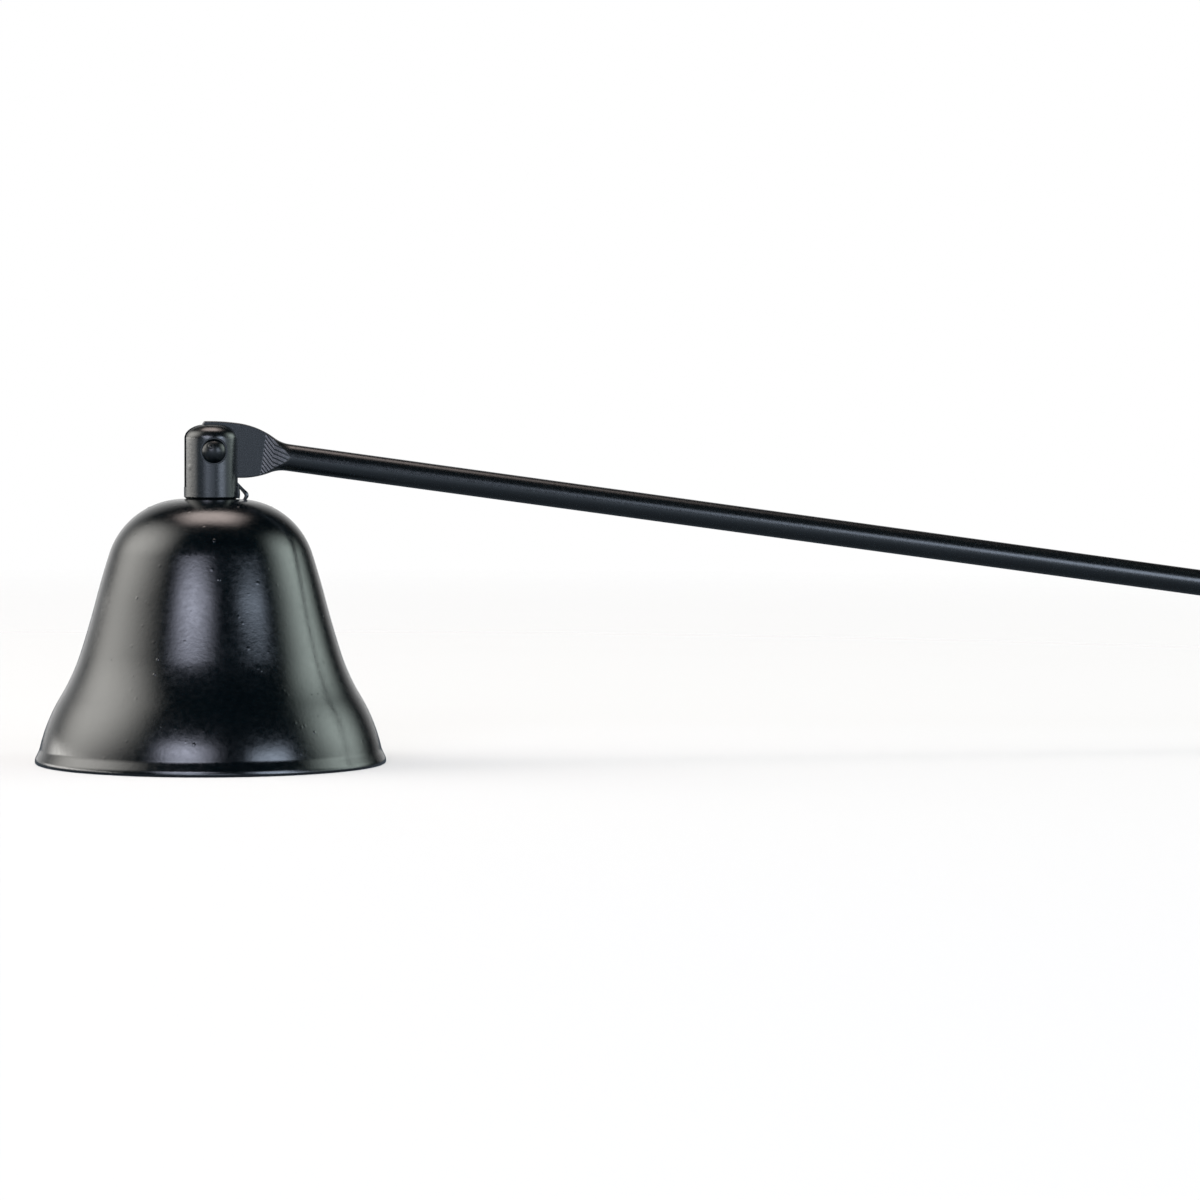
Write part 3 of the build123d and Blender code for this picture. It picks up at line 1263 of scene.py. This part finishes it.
@dataclass
class Handle:
    """The long rod, whose end is a bulb pressed flat between two dies.

    Places along it are distances along the rod's axis from over the pivot.
    """

    rod_diameter: float = 3.175
    reach: float = 268.0
    axis_rise: float = 0.46
    eye: float = 1.7
    end: float = 2.0
    corner: float = 1.25
    corner_half_width: float = 2.9
    half_width: float = 3.22
    widest: float = 2.7
    shoulder_radius: float = 9.5
    blend_radius: float = 4.0
    thickness: float = 1.35
    flat_end: float = 6.1
    ramp_kink: float = 7.2
    kink_half_thickness: float = 1.12
    edge_round: float = 0.22
    edge_least: float = 0.03
    edge_run_out: float = 3.0
    ridge_pitch: float = 0.5
    ridge_height: float = 0.06
    # How far the ridges climb in each millimetre of the steep and the gentle ramp
    steep_climb: float = 1.05
    gentle_climb: float = 0.30
    ridge_crest: float = 0.58
    ridge_lead: float = 0.05
    ridge_run_in: float = 0.18
    ridge_tail: float = 0.1
    ridge_run_out: float = 1.5
    ridge_least: float = 0.25
    ridge_rub: float = 0.7
    ramp_margin: float = 0.1
    neck_length: float = 2.0
    around: int = 320
    eye_sides: int = 64
    cap_rings: int = 12
    run_rings: tuple[int, ...] = (84, 84, 4, 30)
    tip_rings: int = 14
    rod: float = field(init=False)
    tip_centre: float = field(init=False)
    decline: float = field(init=False)
    turn: float = field(init=False)
    ramp_end: float = field(init=False)
    cap_radius: float = field(init=False)

    def __post_init__(self) -> None:
        """Works out where the rod lies when its tip rests on the table."""
        self.rod = self.rod_diameter / 2
        self.tip_centre = self.reach - self.rod
        drop = (PIVOT_HEIGHT - self.rod) / math.hypot(self.tip_centre, self.axis_rise)
        self.decline = math.asin(drop) + math.atan2(self.axis_rise, self.tip_centre)
        total = self.shoulder_radius + self.blend_radius
        self.turn = math.acos(1.0 - (self.half_width - self.rod) / total)
        self.ramp_end = self.widest + total * math.sin(self.turn)
        rise = self.end - self.corner
        self.cap_radius = (rise**2 + self.corner_half_width**2) / (2 * rise)

    def bulb(self, s: float) -> float:
        """Gives the radius of the turned bulb and rod.

        Args:
            s: Place along the rod.

        Returns:
            The radius there.
        """
        if s < -self.corner:
            radius = self.cap_radius
            return math.sqrt(max(0.0, radius**2 - (radius - self.end - s) ** 2))
        if s < self.widest + self.shoulder_radius * math.sin(self.turn):
            radius = self.shoulder_radius
            if s < self.widest:
                run, drop = self.widest + self.corner, self.half_width - self.corner_half_width
                radius = (run**2 + drop**2) / (2 * drop)
            return self.half_width - radius + math.sqrt(radius**2 - (s - self.widest) ** 2)
        if s < self.ramp_end:
            radius = self.blend_radius
            return self.rod + radius - math.sqrt(radius**2 - (self.ramp_end - s) ** 2)
        if s > self.tip_centre:
            return math.sqrt(max(0.0, self.rod**2 - (s - self.tip_centre) ** 2))
        return self.rod

    def die(self, s: float) -> float:
        """Gives how far from the middle a die stood.

        Args:
            s: Place along the rod.

        Returns:
            Half of the thickness that the dies left there.
        """
        half = self.thickness / 2
        if s < self.flat_end:
            return half
        if s < self.ramp_kink:
            share = (s - self.flat_end) / (self.ramp_kink - self.flat_end)
            return half + share * (self.kink_half_thickness - half)
        slope = (self.rod - self.kink_half_thickness) / (self.ramp_end - self.ramp_kink)
        return self.kink_half_thickness + slope * (s - self.ramp_kink)

    def ridges(self, s: float, n: np.ndarray) -> np.ndarray:
        """Gives the ridges that the dies' tool marks left on the ramps.

        Args:
            s: Place along the rod.
            n: Heights above the rod's axis.

        Returns:
            From 0 between the ridges to 1 on their crests.
        """
        if s >= self.ramp_end:
            return np.zeros_like(n)
        steep = min(max(s - self.flat_end, 0.0), self.ramp_kink - self.flat_end)
        climb = self.steep_climb * steep + self.gentle_climb * max(s - self.ramp_kink, 0.0)
        phase = (n + climb) / self.ridge_pitch % 1.0
        valley = self.ridge_crest
        crest = np.where(phase < valley, 1.0 - phase / valley, (phase - valley) / (1.0 - valley))
        start = np.clip((s - self.flat_end + self.ridge_lead) / self.ridge_run_in, 0.0, 1.0)
        fade = np.clip((self.ramp_end - self.ridge_tail - s) / self.ridge_run_out, 0.0, 1.0)
        return crest * start * (self.ridge_least + (1.0 - self.ridge_least) * fade)

    def stations(self) -> np.ndarray:
        """Lists where the rings of vertices stand along the rod.

        Returns:
            Places along the rod.
        """
        last = math.asin(self.corner_half_width / self.cap_radius)
        cap = self.cap_radius * (1.0 - np.cos(np.linspace(0.0, last, self.cap_rings))) - self.end
        stops = (
            -self.corner,
            self.flat_end - self.ramp_margin,
            self.ramp_end + self.ramp_margin,
            self.ramp_end + self.neck_length,
            self.tip_centre,
        )
        runs = zip(stops, stops[1:], self.run_rings)
        rows = [np.linspace(low, high, count)[1:] for low, high, count in runs]
        turns = np.linspace(0.0, FULL_TURN / 4, self.tip_rings)[1:]
        return np.concatenate([cap, *rows, self.tip_centre + self.rod * np.sin(turns)])

    def ring(self, s: float) -> tuple[np.ndarray, np.ndarray]:
        """Presses one ring of the bulb between the dies.

        Args:
            s: Place along the rod.

        Returns:
            The ring's points, as places along, across and above the rod's axis, and how far
            each is rubbed.
        """
        spin, radius = angles_round(self.around), self.bulb(s)
        side, n = radius * np.cos(spin), radius * np.sin(spin)
        mark = self.ridges(s, n)
        die = self.die(s) + self.ridge_height * mark
        soft = self.edge_round
        if s >= self.flat_end:
            soft = max(self.edge_least, soft * (self.ramp_end - s) / self.edge_run_out)
        # A smooth minimum rounds the edge where the die's face meets the bulb.
        near = np.maximum(soft - np.abs(np.abs(side) - die), 0.0) / soft
        pressed = np.minimum(np.abs(side), die) - near**2 * soft / 4.0
        points = np.stack([np.full_like(n, s), np.sign(side) * pressed, n], axis=1)
        return points, np.maximum(near, self.ridge_rub * mark)

    def build(self, paint: Material) -> None:
        """Makes the handle.

        Args:
            paint: Its finish.
        """
        rings = [self.ring(s) for s in self.stations()]
        points = np.concatenate([ring for ring, _ in rings])
        along = np.array([math.cos(self.decline), 0.0, -math.sin(self.decline)])
        normal = np.array([math.sin(self.decline), 0.0, math.cos(self.decline)])
        start = np.array([0.0, 0.0, PIVOT_HEIGHT]) + self.axis_rise * normal
        placed = start + points @ np.array([along, [0.0, 1.0, 0.0], normal])
        mesh = mesh_from("handle_pressed", placed, grid_faces(len(rings), self.around))
        worn = mesh.attributes.new("rub", "FLOAT", "POINT")
        rub = np.concatenate([rubbed for _, rubbed in rings])
        worn.data.foreach_set("value", rub.astype(np.float32))
        handle = new_object("handle_pressed", tidy(mesh))
        handle.data.materials.append(paint)
        cut(handle, [drill("eye", self.eye, -self.thickness, self.thickness, self.eye_sides)])
        seat(handle, Body.HANDLE, Slot.HANDLE, "handle")


# Studio


@dataclass(frozen=True)
class Softbox:
    """A soft light, placed by the angles that it fills as seen from the bell.

    Attributes:
        name: Name of the light.
        left: Its left edge, in degrees to the right of the camera.
        right: Its right edge.
        low: Its lower edge, in degrees above the table.
        high: Its upper edge.
        glow: Its brightness, where 1 is white.
        tint: Its colour.
        soft: How much of it fades out towards its edges.
        lean: How far its top leans to the right, in degrees.
    """

    name: str
    left: float
    right: float
    low: float
    high: float
    glow: float
    tint: Colour
    soft: float = 0.6
    lean: float = 0.0


@dataclass(frozen=True)
class PaleFloor:
    """The pale floor, which thins out to the white surround away from the object and from below.

    Attributes:
        radius: How far it reaches.
        sides: How many sides it has.
        level: How high it lies.
        grey: Its colour, from black to white.
        thin_from: Where it starts to thin out to the camera, in metres from the bell.
        thin_to: Where it is gone.
        thinned: How thin it is at the bell, from 0 to 1.
        front: Where its reflection is brightest, in metres along Y.
        glow_behind: Brightness of its reflection behind the bell.
        glow_front: Brightness of its reflection there.
        tint: Colour of its reflection.
    """

    radius: float = 6000.0
    sides: int = 96
    level: float = -0.02
    grey: float = 0.86
    thin_from: float = 0.05
    thin_to: float = 0.6
    thinned: float = 0.5
    front: float = -0.12
    glow_behind: float = 0.15
    glow_front: float = 0.6
    tint: Colour = (0.80, 0.96, 1.16)

    def material(self) -> Material:
        """Makes the floor's material.

        Returns:
            The material: matt, clear where it is thin, and a plain glow in reflections.
        """
        pale = bpy.data.materials.new("pale_floor")
        pale.use_nodes = True
        pale.node_tree.nodes.clear()
        nodes = Nodes(pale.node_tree)
        rays = nodes.node("ShaderNodeLightPath").outputs
        place = nodes.node("ShaderNodeTexCoord").outputs["Object"]
        away = nodes.node("ShaderNodeVectorMath", place, operation="LENGTH").outputs["Value"]
        fade = nodes.span(away, self.thin_from, self.thin_to, self.thinned, 1.0)
        below = nodes.node("ShaderNodeNewGeometry").outputs["Backfacing"]
        thin = nodes.calc("MAXIMUM", fade, below)
        share = nodes.calc("MULTIPLY", thin, rays["Is Camera Ray"])
        matt = nodes.value("ShaderNodeBsdfDiffuse", (self.grey, self.grey, self.grey, 1.0))
        clear = nodes.value("ShaderNodeBsdfTransparent")
        seen = nodes.value("ShaderNodeMixShader", share, matt, clear)
        ahead = nodes.node("ShaderNodeSeparateXYZ", place).outputs["Y"]
        glow = nodes.span(ahead, 0.0, self.front, self.glow_behind, self.glow_front)
        dim = nodes.value("ShaderNodeEmission", (*self.tint, 1.0), glow)
        surface = nodes.value("ShaderNodeMixShader", rays["Is Glossy Ray"], seen, dim)
        nodes.node("ShaderNodeOutputMaterial", surface)
        return pale

    def build(self) -> None:
        """Lays the floor."""
        rim = np.c_[circle(self.radius, self.sides), np.full(self.sides, self.level)]
        floor = new_object("floor", mesh_from("floor", rim, [tuple(range(self.sides))]))
        floor.data.materials.append(self.material())


@dataclass(frozen=True)
class Surround:
    """The surround: white to the camera, and in reflections white behind the object.

    Attributes:
        white_from: Y of the direction in which it starts to turn white, behind the object.
        white_to: Y of the direction in which it is white.
        front: Its brightness in reflections in front of that.
        behind: Its brightness in reflections where it is white.
        ambient: Its brightness as a light.
    """

    white_from: float = 0.70
    white_to: float = 0.97
    front: float = 0.006
    behind: float = 0.9
    ambient: float = 0.12

    def build(self) -> None:
        """Sets up the world."""
        world = bpy.data.worlds.new("studio")
        world.use_nodes = True
        bpy.context.scene.world = world
        nodes = Nodes(world.node_tree)
        rays = nodes.node("ShaderNodeLightPath").outputs
        place = nodes.node("ShaderNodeTexCoord").outputs["Generated"]
        back = nodes.node("ShaderNodeSeparateXYZ", place).outputs["Y"]
        glow = nodes.span(back, self.white_from, self.white_to, self.front, self.behind)
        mirrored = nodes.value("ShaderNodeMix", rays["Is Glossy Ray"], self.ambient, glow)
        seen = nodes.calc("MAXIMUM", rays["Is Camera Ray"], rays["Is Transmission Ray"])
        shown = nodes.value("ShaderNodeMix", seen, mirrored, 1.0)
        nodes.wire(nodes.tree.nodes["Background"], Color=shown, Strength=1.0)


@dataclass
class Studio:
    """The floor, the white surround, the soft lights and the camera."""

    camera_place: tuple[float, float, float] = (-60.18, -492.67, 41.90)
    yaw: float = 12.26
    pitch: float = 2.61
    roll: float = 0.224
    lens: float = 126.0
    sensor: float = 36.0
    clip_start: float = 10.0
    light_distance: float = 900.0
    aim_height: float = 20.0
    softboxes: tuple[Softbox, ...] = (
        Softbox("front_left_box", -32.0, -5.0, 19.8, 29.9, 7.7, (0.92, 0.96, 1.17), 1.0),
        Softbox("front_left_mid_box", -31.0, -6.0, 5.0, 18.0, 4.0, (0.88, 0.96, 1.17), 0.6),
        Softbox("front_low_box", -22.0, 16.0, 0.0, 9.0, 1.7, (0.84, 0.96, 1.18), 0.5),
        Softbox("front_right_box", 29.0, 54.0, 5.0, 24.0, 5.3, (0.82, 0.96, 1.18), 0.7),
        Softbox("front_right_low_box", 36.0, 64.0, 0.0, 9.0, 3.6, (0.86, 0.97, 1.16)),
        Softbox("left_box", -124.5, -72.2, 11.2, 51.8, 4.5, (1.02, 1.0, 0.95), 0.97, -33.5),
        Softbox("left_low_box", -134.0, -66.0, 0.0, 9.0, 4.5, (1.02, 1.0, 0.96), 0.6),
        Softbox("right_box", 83.5, 120.5, 5.0, 35.0, 3.7, (0.91, 1.06, 1.0), 1.0, 34.0),
        Softbox("right_low_box", 66.0, 110.0, 0.0, 8.0, 1.3, (0.88, 1.04, 1.03), 0.5),
        Softbox("overhead_box", -16.0, 16.0, 90.0, 115.0, 4.3, (1.14, 0.98, 0.92), 0.8),
    )

    def build(self) -> None:
        """Sets up everything round the object."""
        bpy.context.scene.view_settings.view_transform = "Standard"
        self.camera()
        Surround().build()
        PaleFloor().build()
        fading = self.make_soft_edges()
        for box in self.softboxes:
            self.light(box, fading)

    def make_soft_edges(self) -> NodeTree:
        """Makes the group that fades a light out towards its edges.

        Returns:
            The group. Its place is the light's own parametric coordinate.
        """
        t = Group("soft_edges", Kind.SHADER)
        t.takes(Place="Vector", Soft="Float").gives(Share="Float")
        axes = t.node("ShaderNodeSeparateXYZ", t.given("Place")).outputs
        firm = t.calc("SUBTRACT", 1.0, t.given("Soft"))
        sides = []
        for axis in ("X", "Y"):
            aside = t.calc("ABSOLUTE", t.calc("MULTIPLY_ADD", axes[axis], 2.0, -1.0))
            sides.append(t.span(aside, firm, 1.0, 1.0, 0.0, interpolation_type="SMOOTHSTEP"))
        t.put("Share", t.calc("MULTIPLY", *sides))
        return t.tree

    def camera(self) -> None:
        """Puts the camera where the photograph was taken from."""
        yaw, pitch, roll = (math.radians(angle) for angle in (self.yaw, self.pitch, self.roll))
        flat = math.cos(pitch)
        ahead = Vector((math.sin(yaw) * flat, math.cos(yaw) * flat, -math.sin(pitch)))
        level = Vector((math.cos(yaw), -math.sin(yaw), 0.0))
        over = level.cross(ahead)
        right = math.cos(roll) * level + math.sin(roll) * over
        up = -math.sin(roll) * level + math.cos(roll) * over
        data = bpy.data.cameras.new("photo_camera")
        data.lens = self.lens
        data.sensor_width = self.sensor
        data.clip_start = self.clip_start * MM
        camera = link(bpy.data.objects.new("photo_camera", data))
        turn = Matrix((right, up, -ahead)).transposed().to_4x4()
        camera.matrix_world = Matrix.Translation(Vector(self.camera_place) * MM) @ turn
        bpy.context.scene.camera = camera

    def light(self, box: Softbox, fading: NodeTree) -> None:
        """Puts one soft light in its place.

        Args:
            box: The light, whose edges are where it has faded to half.
            fading: The group that fades it out.
        """
        middle = math.radians((box.left + box.right) / 2)
        rise, lean = math.radians((box.low + box.high) / 2), math.radians(box.lean)
        facing = math.atan2(self.camera_place[0], -self.camera_place[1]) + middle
        flat, distance = math.cos(rise), self.light_distance * MM
        way = Vector((math.sin(facing) * flat, -math.cos(facing) * flat, math.sin(rise)))
        data = bpy.data.lights.new(box.name, "AREA")
        data.shape = "RECTANGLE"
        reach = 2.0 * distance / (1.0 - box.soft / 2)
        data.size = reach * math.tan(math.radians((box.right - box.left) / 2))
        data.size_y = reach * math.tan(math.radians((box.high - box.low) / 2))
        data.energy = box.glow * math.pi * data.size * data.size_y
        data.color = box.tint
        data.use_nodes = True
        nodes = Nodes(data.node_tree)
        place = nodes.node("ShaderNodeNewGeometry").outputs["Parametric"]
        faded = nodes.node("ShaderNodeGroup", node_tree=fading)
        share = nodes.wire(faded, Place=place, Soft=box.soft)
        nodes.wire(nodes.tree.nodes["Emission"], Strength=share)
        lamp = link(bpy.data.objects.new(box.name, data))
        level = Vector((math.cos(facing), math.sin(facing), 0.0))
        side = math.cos(lean) * level - math.sin(lean) * way.cross(level)
        turn = Matrix((side, way.cross(side), way)).transposed().to_4x4()
        spot = Vector((0.0, 0.0, self.aim_height * MM)) + way * distance
        lamp.matrix_world = Matrix.Translation(spot) @ turn
        lamp.visible_camera = False


def main() -> None:
    """Builds the snuffer and its studio."""
    logging.basicConfig(level=logging.INFO, format="%(name)s: %(message)s")
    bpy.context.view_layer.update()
    effects, workshop = Effects(), Workshop()
    paints = {slot: finish.material(effects) for slot, finish in FINISHES.items()}
    Bell().build(workshop, paints[Slot.BELL])
    Post().build(workshop, paints[Slot.POST])
    FootBurr().build(paints[Slot.POST])
    Rivet().build(workshop, paints[Slot.RIVET])
    Fastening().build(workshop, paints[Slot.FASTENER])
    Handle().build(paints[Slot.HANDLE])
    Studio().build()


if __name__ == "__main__":
    main()
